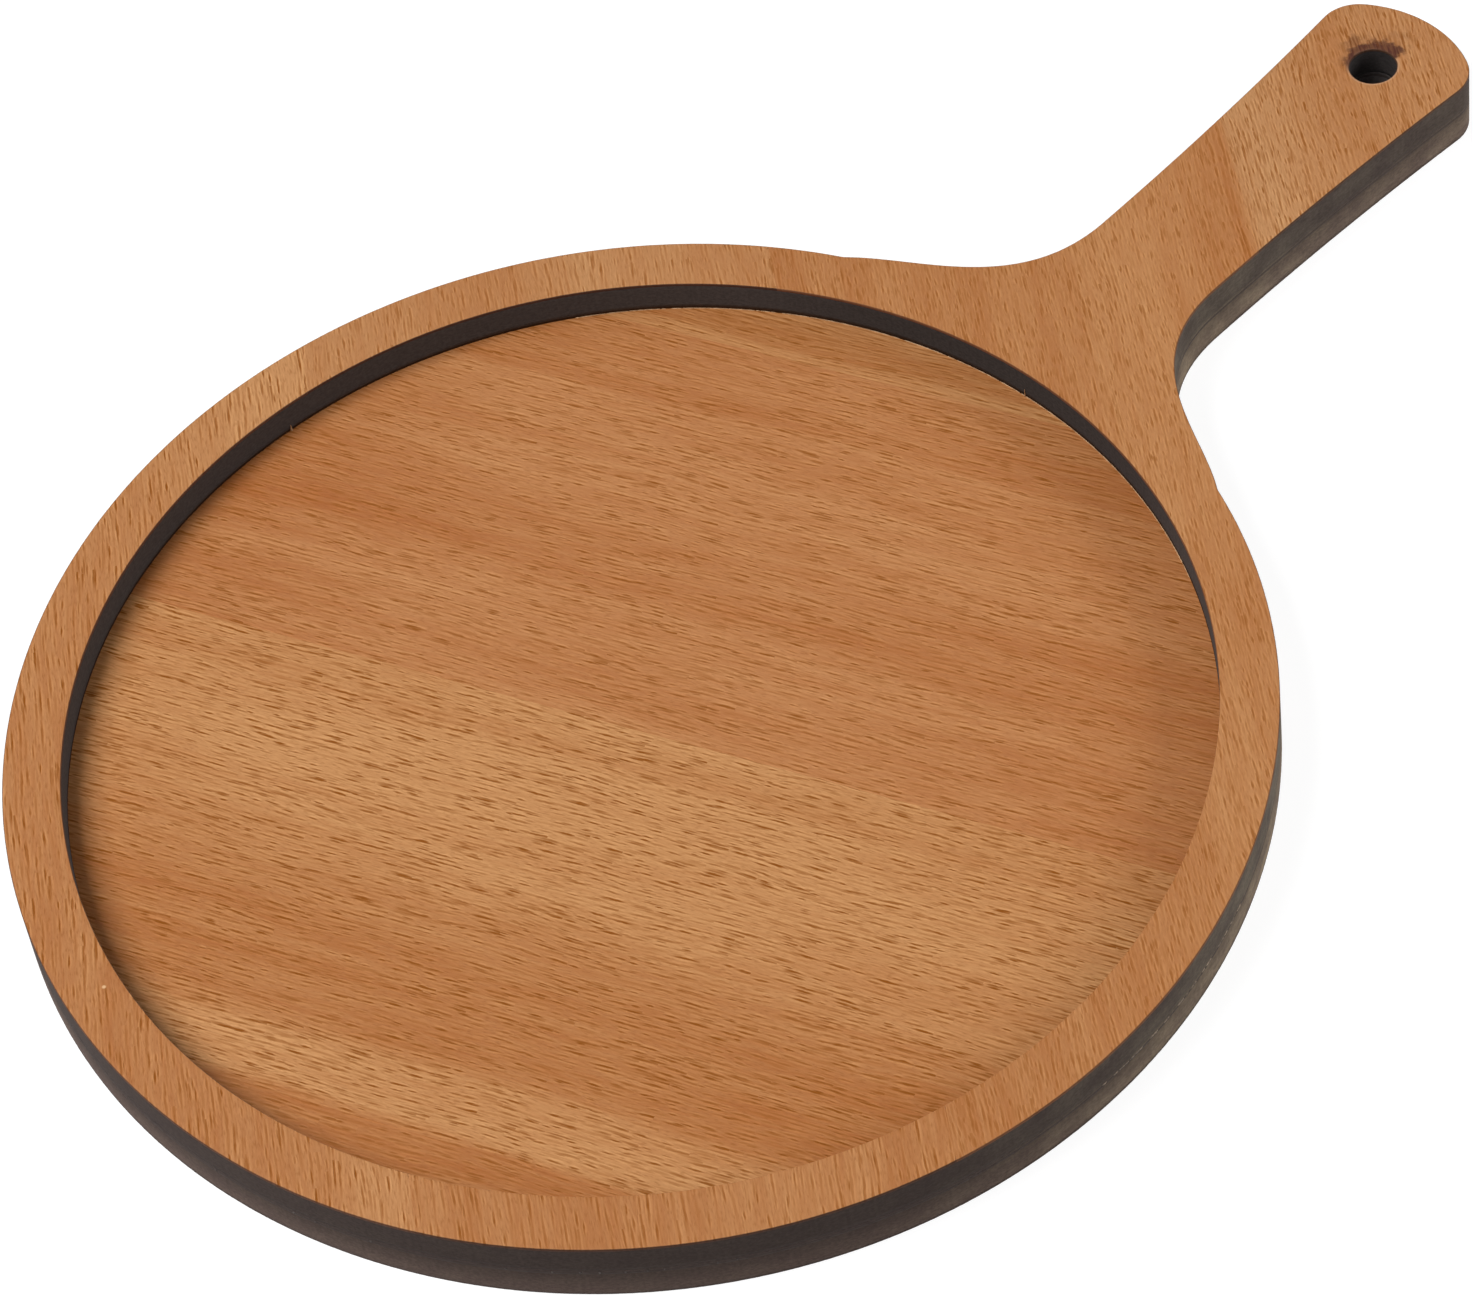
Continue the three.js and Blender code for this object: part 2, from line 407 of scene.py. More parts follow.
def char_group():
    """Laser char as a shared group: soot with level smears, upright ribs and fine fibres.

    The char is drawn lighter low down on the board's edge, and paler on the side towards the right, partly
    its own colour and partly painted light. The tray's wall and the hole keep their soot, so they have a
    colour of their own; in the hole it is painted light and shade that evens out the shade inside.
    """
    group = bpy.data.node_groups.new("laser_char", "ShaderNodeTree")
    for name in EDGE_PARTS:
        group.interface.new_socket(name, in_out="INPUT", socket_type="NodeSocketColor")
    group.interface.new_socket("Colour", in_out="OUTPUT", socket_type="NodeSocketColor")
    group.interface.new_socket("Height", in_out="OUTPUT", socket_type="NodeSocketFloat")
    given = group.nodes.new("NodeGroupInput").outputs
    place = object_place(group)
    in_plan = plan_place(group)
    axes = axes_of(group, place)
    from_middle = vector_math(group, "LENGTH", in_plan)
    smears = noise(group, scaled(group, place, SMEARS), 3.0, 0.55)
    patches = noise(group, scaled(group, place, PATCHES), 3.0)
    fibres = noise(group, scaled(group, place, CHAR_FIBRES), 2.0, 0.6)
    rib_place = add_node(group, "ShaderNodeCombineXYZ", {"X": kept_value(group, "along")})
    ribs = noise(group, scaled(group, rib_place, RIB_SHADES), 2.0, 0.6)

    # Partly painted light: the char is paler on the side towards the right, where the light from the right
    # falls, and less so out along the handle.
    to_hand = vector_math(group, "DOT_PRODUCT", place, PALER_WAY)
    paler = eased(group, to_hand, PALER_FROM, PALER_TO, 0.07, 0.8)
    by_handle = eased(group, from_middle, HANDLE_FROM, HANDLE_TO, 1.0, 0.34)
    paler = scalar_math(group, "MULTIPLY", paler, by_handle)
    patched = eased(group, patches, 0.3, 0.7, 0.0, 0.8)
    smeared = scalar_math(group, "MULTIPLY_ADD", eased(group, smears, 0.3, 0.7), 0.4, patched)
    evenly = scalar_math(group, "MULTIPLY", paler, 0.4)
    rubbed = scalar_math(group, "MULTIPLY_ADD", smeared, paler, evenly)
    colour = mixed(group, rubbed, given["Deep"], given["Paler side"])

    thicker = grey(group, eased(group, axes["X"], THICK_FROM, THICK_TO, 1.0, 0.64))
    tray_wall = mixed(group, 1.0, given["Tray"], thicker, "MULTIPLY")
    in_tray = scalar_math(group, "LESS_THAN", from_middle, TRAY_SIDE)
    colour = mixed(group, in_tray, colour, tray_wall)
    from_hole = vector_math(group, "DISTANCE", in_plan, (HOLE.real, HOLE.imag, 0))
    # In the hole each sheet takes its own colour: painted light low down and painted shade higher up, which
    # evens out the shade inside it.
    in_hole = scalar_math(group, "LESS_THAN", from_hole, 1.5 * HOLE_RADIUS)
    colour = mixed(group, in_hole, colour, given["Hole painted light"])

    rib_shade = eased(group, ribs, 0.2, 0.8, 0.92, 1.07)
    fibre_shade = eased(group, fibres, 0.25, 0.75, -0.18, 0.18)
    # The char is drawn lighter towards the bottom of the board's edge.
    lighter_low = eased(group, axes["Z"], LIGHTER_BELOW, 0.0, 1.0, 1.8)
    shade = scalar_math(group, "ADD", rib_shade, fibre_shade)
    shade = scalar_math(group, "MULTIPLY", shade, lighter_low)
    colour = mixed(group, 1.0, colour, grey(group, shade), "MULTIPLY")
    height = scalar_math(group, "MULTIPLY_ADD", ribs, 0.5, fibres)
    result = group.nodes.new("NodeGroupOutput")
    group.links.new(colour, result.inputs["Colour"])
    group.links.new(height, result.inputs["Height"])
    return group


LASER_CHAR = char_group()


def char_nodes(tree, edge):
    """Adds the char to a material's tree, in the colours of this edge."""
    char = tree.nodes.new("ShaderNodeGroup")
    char.node_tree = LASER_CHAR
    for name, colour in zip(EDGE_PARTS, edge):
        char.inputs[name].default_value = linear(colour)
    return char.outputs


def start_material(name):
    """An empty material; returns it with its node tree."""
    material = bpy.data.materials.new(name)
    material.use_nodes = True
    material.node_tree.nodes.clear()
    return material, material.node_tree


def add_surface(tree, finish):
    """Ends a material's tree in a surface of this finish."""
    shader = add_node(tree, "ShaderNodeBsdfPrincipled", finish)
    add_node(tree, "ShaderNodeOutputMaterial", {"Surface": shader})


def char_material(name, edge):
    material, tree = start_material(name)
    char = char_nodes(tree, edge)
    bump = add_node(tree, "ShaderNodeBump", {"Strength": 0.5, "Distance": 0.00006, "Height": char["Height"]})
    finish = {"Base Color": char["Colour"], "Roughness": 0.85, "Specular IOR Level": 0.12, "Normal": bump}
    add_surface(tree, finish)
    return material


outline = board_outline()
hole_loop = arc(HOLE, HOLE_RADIUS, 2 * math.pi, 0)
base_curve = plan_curve([outline, hole_loop])
LASER_CUT = laser_cut_tree()
core_cut = {"Arris": CORE_ARRIS, "Burn width": CORE_BURN_WIDTH, "Rows": CORE_ROWS}
core_cut |= {"Rib pitch": RIB_PITCH, "Rib depth": RIB_DEPTH, "Seed": BASE_CUT_SEED}
lower_cut = core_cut | {"Finish": char_material("lower_edge_char", LOWER_EDGE)}
lower_core = run_tree(LASER_CUT, base_curve, lower_cut | {"Back": base_low.z, "Face": base_high.z})
add_piece("lower_core", outward_faces(lower_core), "charred_core", "base_core")


# The underside veneer: half a millimetre of beech on the lower sheet's back, laid from four leaves that meet
# edge to edge along the grain, glued down and sanded flat. The board rests on it.
underside_low, underside_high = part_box("underside_leaf_2")
VENEER_ARRIS = 0.00013
BURN_WIDTH = 0.0007
VENEER_ROWS = 3
BASE_GRAIN = math.radians(-69)
UNDERSIDE_BACK_JOINT = -0.038
UNDERSIDE_FRONT_JOINT = 0.0445
UNDERSIDE_HANDLE_JOINT = math.sin(-BASE_GRAIN) * (TIP_X - 0.062)
BEYOND = 0.35

# A leaf of plain beech: its dark and light tone, its cut edge's colour, the strength of its pores, the share
# of them that is faint, their coarseness, how its tone rises along the grain, the painted shade that darkens
# it towards both ends, and its own marks. Other leaves change some of these.
BEECH = {
    "tones": ((165, 95, 44), (200, 143, 91)),
    "rind": LOWER_EDGE[0],
    "pores": 0.9,
    "faint": 0.0,
    "coarse": 1.0,
    "rise": 0.0,
    "end_shade": 0.0,
    "marks": None,
}

# The grain's patterns, each with its length along the grain and its width across it
SWAY_SIZE = (0.04, 0.012)
SWAY = 0.0005
CLOUD_SIZE = (0.06, 0.005)
CLOUD_TONE = 0.13
STREAK_SIZE = (0.012, 0.0008)
STREAK_TONE = 0.1
FIBRE_SIZE = (0.0016, 0.0003)
RUFFLE = 0.00005
BREAK_SIZE = (0.002, 0.0004)

# The flecks: rows of short pores, each row with its pitch along the grain and its spacing across it
FLECK = (140, 76, 0)
FLECK_HALF_WIDTH = 0.00031
FLECK_ROWS = ((0.0082, 0.00112), (0.0069, 0.001), (0.0059, 0.0009), (0.005, 0.0008))
ROWS_APART = 0.31
ROW_STARTS = 1000.0
ROW_STRETCH = 0.022
# Painted highlight: each pore has a pale lip round it, standing for the lit wall of its groove.
LIP_HIGHLIGHT = (1.32, 1.42, 1.52, 1)
LIP_HIGHLIGHT_SPREAD = 2.6

# The burn on a leaf's edge begins and is full at these shares; the tray's arris at the front is cleaner
FRONT_WAY = (-0.34, -0.94, 0)
FRONT_FROM, FRONT_TO = 0.03, 0.06
CHAR_FROM, CHAR_TO = 0.72, 0.95
CLEAN_FROM, CLEAN_TO = 0.965, 0.995


def leaf_mesh(sheet, cuts):
    """One leaf of a veneer: what lies behind each cut, with the cut faces closed."""
    leaf = bmesh.new()
    leaf.from_mesh(sheet)
    for place, ahead in cuts:
        everything = leaf.verts[:] + leaf.edges[:] + leaf.faces[:]
        plane = {"plane_co": place, "plane_no": ahead, "dist": 1e-8}
        bmesh.ops.bisect_plane(leaf, geom=everything, clear_outer=True, **plane)
        open_edges = [edge for edge in leaf.edges if edge.is_boundary]
        bmesh.ops.holes_fill(leaf, edges=open_edges, sides=0)
    bmesh.ops.recalc_face_normals(leaf, faces=leaf.faces)
    mesh = bpy.data.meshes.new("leaf")
    leaf.to_mesh(mesh)
    leaf.free()
    return mesh


def strip_cuts(grain, start, end):
    """The two cuts along the grain that bound a leaf, so far from the plate's middle."""
    square = Vector((-math.sin(grain), math.cos(grain), 0))
    return [(square * start, -square), (square * end, square)]


def stretched(tree, vector, along, across):
    """Coordinates for a pattern of this length along the grain and this width across it, in metres."""
    return scaled(tree, vector, (1 / along, 1 / across, 1 / across))


def grain_noise(tree, vector, along, across, detail=2.0, roughness=0.5):
    """A pattern of this length and width that lies flat in the leaf."""
    return noise(tree, stretched(tree, vector, along, across), detail, roughness, "2D")


def three_chances(tree, colour):
    """The three parts of a random colour, as three separate chances."""
    node = tree.nodes.new("ShaderNodeSeparateColor")
    tree.links.new(colour, node.inputs[0])
    return node.outputs


def fleck_rows(tree, vector, pitch, spacing, faint):
    """Short pores in rows along the grain: how deep each point lies in one, and in the painted highlight of
    the lip beside it.

    A row is strong in one stretch and faint in another, and lies a little off its even place.
    """
    plan = axes_of(tree, stretched(tree, vector, pitch, spacing))
    row = scalar_math(tree, "FLOOR", plan["Y"])
    luck = tree.nodes.new("ShaderNodeTexWhiteNoise")
    luck.noise_dimensions = "1D"
    tree.links.new(row, luck.inputs["W"])
    row_chance = three_chances(tree, luck.outputs["Color"])
    start = scalar_math(tree, "MULTIPLY_ADD", row_chance[0], ROW_STARTS, plan["X"])
    cells = tree.nodes.new("ShaderNodeTexVoronoi")
    cells.voronoi_dimensions = "1D"
    cells.inputs["Scale"].default_value = 1.0
    cells.inputs["Randomness"].default_value = 0.9
    tree.links.new(start, cells.inputs["W"])
    chance = three_chances(tree, cells.outputs["Color"])

    aside = scalar_math(tree, "MULTIPLY_ADD", row_chance[1], 0.2, 0.35)
    aside = scalar_math(tree, "MULTIPLY_ADD", chance[2], 0.1, aside)
    off = scalar_math(tree, "SUBTRACT", scalar_math(tree, "SUBTRACT", plan["Y"], row), aside)
    longer = scalar_math(tree, "POWER", chance[0], 1.5)
    half_length = scalar_math(tree, "MULTIPLY_ADD", longer, 0.34, 0.3)
    along = scalar_math(tree, "DIVIDE", cells.outputs["Distance"], half_length)
    edge = eased(tree, chance[0], 0.0, 1.0, 0.75, 1.1)
    inner = scalar_math(tree, "MULTIPLY", edge, 0.25)
    stretch = scalar_math(tree, "MULTIPLY", start, pitch / ROW_STRETCH)
    stretch = add_node(tree, "ShaderNodeCombineXYZ", {"X": stretch, "Y": row})
    strong = eased(tree, noise(tree, stretch, 1.0, 0.5, "2D"), 0.36, 0.62, 0.5, 1.0)
    own_strength = eased(tree, chance[1], faint, faint + 0.75, 0.0, 1.0)
    strong = scalar_math(tree, "MULTIPLY", strong, own_strength)

    depths = []
    for half_width in (FLECK_HALF_WIDTH, LIP_HIGHLIGHT_SPREAD * FLECK_HALF_WIDTH):
        across = scalar_math(tree, "MULTIPLY", off, spacing / half_width)
        apart = add_node(tree, "ShaderNodeCombineXYZ", {"X": along, "Y": across})
        depth = eased(tree, vector_math(tree, "LENGTH", apart), edge, inner)
        depths.append(scalar_math(tree, "MULTIPLY", depth, strong))
    return depths


def tone_ramp(tree, value, stops):
    """A tone that follows a value through these stops: pairs of the value and its tone."""
    start, end = stops[0][0], stops[-1][0]
    ramp = tree.nodes.new("ShaderNodeValToRGB")
    share = add_node(tree, "ShaderNodeMapRange", {"Value": value, "From Min": start, "From Max": end})
    tree.links.new(share, ramp.inputs[0])
    elements = ramp.color_ramp.elements
    while len(elements) < len(stops):
        elements.new(1.0)
    for element, (at, tone) in zip(elements, stops):
        element.position = (at - start) / (end - start)
        element.color = (tone, tone, tone, 1)
    return ramp.outputs[0]


def plain_wood(tree, grain, bands, wavy, streaks, wood):
    """The wood's colour without its pores: tone bands across the leaf, clouds and streaks along it, a rise
    along the grain, and painted shade towards both ends.
    """
    along_grain = (math.cos(grain), math.sin(grain), 0)
    along = vector_math(tree, "DOT_PRODUCT", object_place(tree), along_grain)
    # Painted shade: the tone falls towards both ends of a floor leaf, where the tray's wall shades the floor.
    slope = scalar_math(tree, "MULTIPLY_ADD", along, -wood["end_shade"], wood["rise"])
    lengthways_tone_and_end_shade = scalar_math(tree, "MULTIPLY", along, slope)
    clouds = grain_noise(tree, wavy, *CLOUD_SIZE, 3.0, 0.55)
    cloudy = eased(tree, clouds, 0.25, 0.75, -CLOUD_TONE, CLOUD_TONE)
    streaky = eased(tree, streaks, 0.25, 0.75, -STREAK_TONE, STREAK_TONE)
    tone = scalar_math(tree, "ADD", tone_ramp(tree, axes_of(tree, wavy)["Y"], bands), cloudy)
    tone = scalar_math(tree, "ADD", tone, lengthways_tone_and_end_shade)
    tone = scalar_math(tree, "ADD", tone, streaky)
    dark, light = wood["tones"]
    return mixed(tree, tone, linear(dark), linear(light))


def add_flecks(tree, colour, wavy, wood):
    """Puts pores into the wood, with pale fibres and a painted highlight on the lip round each pore; returns
    its colour, and how deep in a pore each point lies.
    """
    pores = wood["pores"]
    fibres = grain_noise(tree, wavy, *FIBRE_SIZE, 1.0, 0.6)
    ruffled = vector_math(tree, "ADD", wavy, eased(tree, fibres, 0.2, 0.8, -RUFFLE, RUFFLE))
    flecks = eased(tree, fibres, 0.48, 0.85, 0.0, 0.4 * pores)
    pale_fibres_and_lip_highlights = eased(tree, fibres, 0.5, 0.2, 0.0, 0.3 * pores)
    broken = eased(tree, grain_noise(tree, wavy, *BREAK_SIZE, 1.0), 0.3, 0.6, 0.8 * pores, pores)
    for number, (pitch, spacing) in enumerate(FLECK_ROWS):
        elsewhere = vector_math(tree, "ADD", ruffled, (0, ROWS_APART * number, 0))
        coarse_row = (pitch * wood["coarse"], spacing * wood["coarse"])
        dark, light = fleck_rows(tree, elsewhere, *coarse_row, wood["faint"])
        flecks = scalar_math(tree, "MAXIMUM", flecks, scalar_math(tree, "MULTIPLY", dark, broken))
        pale_fibres_and_lip_highlights = scalar_math(tree, "MAXIMUM", pale_fibres_and_lip_highlights, scalar_math(tree, "MULTIPLY", light, pores))
    # Painted highlight: the lips lighten the wood round each pore, along with the pale fibres.
    colour = mixed(tree, pale_fibres_and_lip_highlights, colour, mixed(tree, 1.0, colour, LIP_HIGHLIGHT, "MULTIPLY"))
    return mixed(tree, flecks, colour, linear(FLECK)), flecks


def charred_share(tree):
    """How far the laser has charred each point of a leaf's edge."""
    in_tray = scalar_math(tree, "LESS_THAN", vector_math(tree, "LENGTH", plan_place(tree)), TRAY_SIDE)
    to_front = vector_math(tree, "DOT_PRODUCT", object_place(tree), FRONT_WAY)
    clean = scalar_math(tree, "MULTIPLY", in_tray, eased(tree, to_front, FRONT_FROM, FRONT_TO))
    first_char = scalar_math(tree, "MULTIPLY_ADD", clean, CLEAN_FROM - CHAR_FROM, CHAR_FROM)
    full_char = scalar_math(tree, "MULTIPLY_ADD", clean, CLEAN_TO - CHAR_TO, CHAR_TO)
    return eased(tree, kept_value(tree, "burn"), first_char, full_char)


def beech_material(name, grain, bands, shift, edge, wood):
    """Beech veneer with its grain and its burnt edge.

    The bands are pairs of a distance across the grain and a tone, from 0 for the wood's dark tone to 1 for
    its light one. The shift takes each leaf's pattern from another stretch of the grain.
    """
    material, tree = start_material(name)
    turn = {"Vector": object_place(tree), "Rotation": (0, 0, -grain), "Location": (shift, 0, 0)}
    turned = add_node(tree, "ShaderNodeMapping", turn)
    sway = eased(tree, grain_noise(tree, turned, *SWAY_SIZE), 0.2, 0.8, -SWAY, SWAY)
    wavy = vector_math(tree, "ADD", turned, add_node(tree, "ShaderNodeCombineXYZ", {"Y": sway}))
    streaks = grain_noise(tree, wavy, *STREAK_SIZE, 2.0, 0.6)
    colour = plain_wood(tree, grain, bands, wavy, streaks, wood)
    colour, flecks = add_flecks(tree, colour, wavy, wood)
    if wood["marks"]:
        colour = wood["marks"](tree, colour)
    charred = charred_share(tree)
    rind = mixed(tree, 0.8, char_nodes(tree, edge)["Colour"], linear(wood["rind"]))
    colour = mixed(tree, charred, colour, rind)

    pore_depth = scalar_math(tree, "MULTIPLY", flecks, -1.0)
    grain_height = scalar_math(tree, "MULTIPLY_ADD", streaks, 0.2, pore_depth)
    bump = add_node(tree, "ShaderNodeBump", {"Strength": 1.0, "Distance": 0.00006, "Height": grain_height})
    satin = eased(tree, streaks, 0.2, 0.8, 0.46, 0.58)
    satin = scalar_math(tree, "ADD", satin, scalar_math(tree, "MULTIPLY", flecks, 0.15))
    gloss = scalar_math(tree, "MULTIPLY_ADD", charred, 0.3, satin, clamp=True)
    finish = {"Base Color": colour, "Roughness": gloss, "Specular IOR Level": 0.25, "Normal": bump}
    add_surface(tree, finish)
    return material


def lay_leaf(name, sheet, cuts, material, slot, node):
    """Cuts one leaf out of a veneer sheet and lays it in the place of its solid."""
    leaf = leaf_mesh(sheet, cuts)
    leaf.materials.clear()
    leaf.materials.append(material)
    return add_piece(name, leaf, slot, node)


veneer_cut = core_cut | {"Arris": VENEER_ARRIS, "Burn width": BURN_WIDTH, "Rows": VENEER_ROWS}
underside_cut = veneer_cut | {"Back": underside_high.z, "Face": underside_low.z}
underside = run_tree(LASER_CUT, base_curve, underside_cut)
underside_joints = [UNDERSIDE_BACK_JOINT, UNDERSIDE_FRONT_JOINT, UNDERSIDE_HANDLE_JOINT]
underside_ends = [-BEYOND, *underside_joints, BEYOND]
underside_bands = [
    [(-0.103, 0.35), (-0.08, 0.7), (-0.062, 0.45), (-0.038, 0.6)],
    [(-0.038, 0.85), (-0.02, 0.6), (0.005, 0.8), (0.03, 0.45), (0.0445, 0.5)],
    [(0.0445, 0.7), (0.07, 0.4), (0.095, 0.65), (0.126, 0.5)],
    [(0.126, 0.3), (0.15, 0.6), (0.185, 0.45)],
]
UNDERSIDE_SHIFT = 0.61
for number, bands in enumerate(underside_bands, 1):
    cuts = strip_cuts(BASE_GRAIN, underside_ends[number - 1], underside_ends[number])
    stretch = UNDERSIDE_SHIFT * number
    beech = beech_material(f"underside_beech_{number}", BASE_GRAIN, bands, stretch, LOWER_EDGE, BEECH)
    lay_leaf(f"underside_veneer_{number}", underside, cuts, beech, "base_veneer", f"underside_leaf_{number}")


# The floor veneer: the same beech on the lower sheet's face, in four leaves, glued down before the cut. It is
# the floor of the tray, and runs on under the rim and the handle to the board's edge.
floor_low, floor_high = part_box("floor_leaf_2")
FLOOR_MIDDLE_JOINT = 0.0005
FLOOR_OUTER_JOINT = PLATE_RADIUS - 0.02
FLOOR_SHIFT = 0.37
RUDDY_TONES = ((165, 93, 43), (200, 141, 91))
floor_cut = veneer_cut | {"Arris": CORE_ARRIS}
floor = run_tree(LASER_CUT, base_curve, floor_cut | {"Back": floor_low.z, "Face": floor_high.z})
floor_joints = [-FLOOR_OUTER_JOINT, FLOOR_MIDDLE_JOINT, FLOOR_OUTER_JOINT]
floor_ends = [-BEYOND, *floor_joints, BEYOND]
second_leaf_bands = [(-0.08225, 0.36), (-0.0812, 0.6), (-0.08, 0.88), (-0.074, 0.9), (-0.066, 0.35)]
second_leaf_bands += [(-0.048, 0.45), (-0.04, 0.75), (-0.022, 1.0), (-0.009, 1.0), (-0.007, 0.82)]
second_leaf_bands += [(-0.0025, 0.8), (-0.0012, 0.95), (0.0005, 0.93)]
third_leaf_bands = [(0.0005, 0.62), (0.01, 0.6), (0.018, 0.7), (0.03, 0.45), (0.047, 0.72), (0.06, 0.64)]
third_leaf_bands += [(0.0665, 0.65), (0.0675, 0.45), (0.08225, 0.55)]
floor_bands = [
    [(-0.103, 0.3), (-0.09, 0.28), (-0.08225, 0.28)],
    second_leaf_bands,
    third_leaf_bands,
    [(0.08225, 0.75), (0.084, 0.7), (0.085, 0.4), (0.092, 0.6), (0.13, 0.4), (0.19, 0.5)],
]
# The floor's leaves carry painted shade that darkens them towards the tray's wall at both ends.
floor_beech = BEECH | {"rind": (64, 53, 49), "end_shade": 30.0}
floor_woods = [
    floor_beech,
    floor_beech | {"pores": 1.06},
    floor_beech | {"pores": 0.95, "tones": RUDDY_TONES},
    floor_beech,
]
for number, (bands, wood) in enumerate(zip(floor_bands, floor_woods), 1):
    cuts = strip_cuts(BASE_GRAIN, floor_ends[number - 1], floor_ends[number])
    stretch = FLOOR_SHIFT * number
    beech = beech_material(f"floor_beech_{number}", BASE_GRAIN, bands, stretch, LOWER_EDGE, wood)
    lay_leaf(f"floor_veneer_{number}", floor, cuts, beech, "base_veneer", f"floor_leaf_{number}")


# The upper sheet's back veneer: a thin sheet of beech that lies in the glue joint between the two boards.
# Only its burnt edge shows, half-way up the outside and at the foot of the tray's wall.
joint_low, joint_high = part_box("frame_back_veneer")
TRAY_RADIUS = PLATE_RADIUS - 0.0095
FRAME_CUT_SEED = 11
# In the hole this sheet's colour is lighter than its soot: painted light in the hole's shade.
JOINT_EDGE = ((68, 56, 54), (124, 111, 95), (46, 26, 10), (90, 83, 81))
frame_curve = plan_curve([outline, hole_loop, arc(0, TRAY_RADIUS, 2 * math.pi, 0)])
joint_cut = core_cut | {"Rows": VENEER_ROWS, "Seed": FRAME_CUT_SEED}
joint_cut |= {"Finish": char_material("joint_edge_char", JOINT_EDGE)}
joint = run_tree(LASER_CUT, frame_curve, joint_cut | {"Back": joint_low.z, "Face": joint_high.z})
add_piece("joint_veneer", outward_faces(joint), "hidden_veneer", "frame_back_veneer")


# The upper sheet's core: the same fibreboard, cut open to a rim with the handle on it and glued on through
# its back veneer. Its inner edge is the tray's wall, and it is burnt darker than the lower sheet.
frame_low, frame_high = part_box("frame_core")
# In the hole this sheet's colour is darker than its soot: painted shade where the upper part of the hole is
# lit.
UPPER_EDGE = ((65, 54, 51), (108, 98, 85), (70, 66, 65), (55, 50, 49))
upper_cut = core_cut | {"Seed": FRAME_CUT_SEED}
upper_cut |= {"Finish": char_material("upper_edge_char", UPPER_EDGE)}
upper_core = run_tree(LASER_CUT, frame_curve, upper_cut | {"Back": frame_low.z, "Face": frame_high.z})
add_piece("upper_core", outward_faces(upper_core), "charred_core", "frame_core")


# The glue: it was squeezed out where the two sheets were pressed together, wiped, and what stayed has set as
# small beads along the joint outside and along the foot of the tray's wall, with two strings on that wall.
DARK_GLUE = ((60, 52, 50), (84, 75, 71))
PALE_GLUE = ((104, 93, 84), (190, 168, 144))
WOODY_GLUE = ((154, 116, 82), (200, 162, 124))
GLUE_DUST = (900, 900, 900)
GLUE_SEED = 5

# Each stretch of beads: its place, tones, radius from the plate's middle, first and last bearing in degrees,
# the beads' spacing, the share of them that stayed, their length and their height
GLUE_STRETCHES = [
    ("front", DARK_GLUE, PLATE_RADIUS, 213, 233, 0.0032, 0.75, 0.0004, 0.00035),
    ("right", PALE_GLUE, PLATE_RADIUS, 268, 291, 0.0012, 0.75, 0.0012, 0.00022),
    ("left", DARK_GLUE, PLATE_RADIUS, 185, 201, 0.0042, 0.6, 0.0005, 0.0003),
    ("tray", WOODY_GLUE, TRAY_RADIUS, -30, 52, 0.0009, 0.95, 0.0018, 0.00024),
]

# Each string: its bearing in degrees, height and width
GLUE_STRINGS = [(0.1, 0.0018, 0.00032), (84.2, 0.0013, 0.00042)]
STRING_SIDES = 10


def glue_tree():
    """Beads of glue strewn along a path, each lying along it, of uneven length."""
    sizes = {"Spacing": "Float", "Chance": "Float", "Bead length": "Float", "Bead height": "Float"}
    sizes |= {"Level": "Float", "Seed": "Int", "Finish": "Material"}
    tree, given = start_tree("glue_squeeze_out", sizes)
    points = tree.nodes.new("GeometryNodeCurveToPoints")
    points.mode = "LENGTH"
    tree.links.new(given["Outline"], points.inputs["Curve"])
    tree.links.new(given["Spacing"], points.inputs["Length"])
    along = points.outputs["Tangent"]
    lying = add_node(tree, "FunctionNodeAlignRotationToVector", {"Vector": along}, axis="X")
    stays = {"Probability": given["Chance"], "Seed": given["Seed"]}
    chosen = add_node(tree, "FunctionNodeRandomValue", stays, data_type="BOOLEAN")
    uneven = {"Min": 0.4, "Max": 1.5, "Seed": given["Seed"]}
    part = add_node(tree, "FunctionNodeRandomValue", uneven, data_type="FLOAT")
    length = scalar_math(tree, "MULTIPLY", part, given["Bead length"])
    size = {"X": length, "Y": given["Bead height"], "Z": given["Bead height"]}
    size = add_node(tree, "ShaderNodeCombineXYZ", size)
    astray = scalar_math(tree, "MULTIPLY", scalar_math(tree, "SUBTRACT", part, 0.95), given["Spacing"])
    slip = {"Geometry": points.outputs["Points"], "Offset": vector_math(tree, "SCALE", along, astray)}
    spread = add_node(tree, "GeometryNodeSetPosition", slip)
    bead = add_node(tree, "GeometryNodeMeshIcoSphere", {"Radius": 0.5, "Subdivisions": 2})
    strewn = {"Points": spread, "Selection": chosen, "Instance": bead, "Rotation": lying, "Scale": size}
    beads = add_node(tree, "GeometryNodeInstanceOnPoints", strewn)
    level = add_node(tree, "ShaderNodeCombineXYZ", {"Z": given["Level"]})
    raised = {"Instances": beads, "Translation": level, "Local Space": False}
    return finish_tree(tree, add_node(tree, "GeometryNodeTranslateInstances", raised), given["Finish"])


def glue_material(name, tones):
    """Set glue: dull and dusty, between two tones."""
    material, tree = start_material(name)
    dust = noise(tree, scaled(tree, object_place(tree), GLUE_DUST), 3.0, 0.6)
    colour = mixed(tree, eased(tree, dust, 0.3, 0.7), linear(tones[0]), linear(tones[1]))
    bump = add_node(tree, "ShaderNodeBump", {"Strength": 0.4, "Distance": 0.00004, "Height": dust})
    matt = eased(tree, dust, 0.3, 0.7, 0.65, 0.45)
    finish = {"Base Color": colour, "Roughness": matt, "Specular IOR Level": 0.2, "Normal": bump}
    add_surface(tree, finish)
    return material


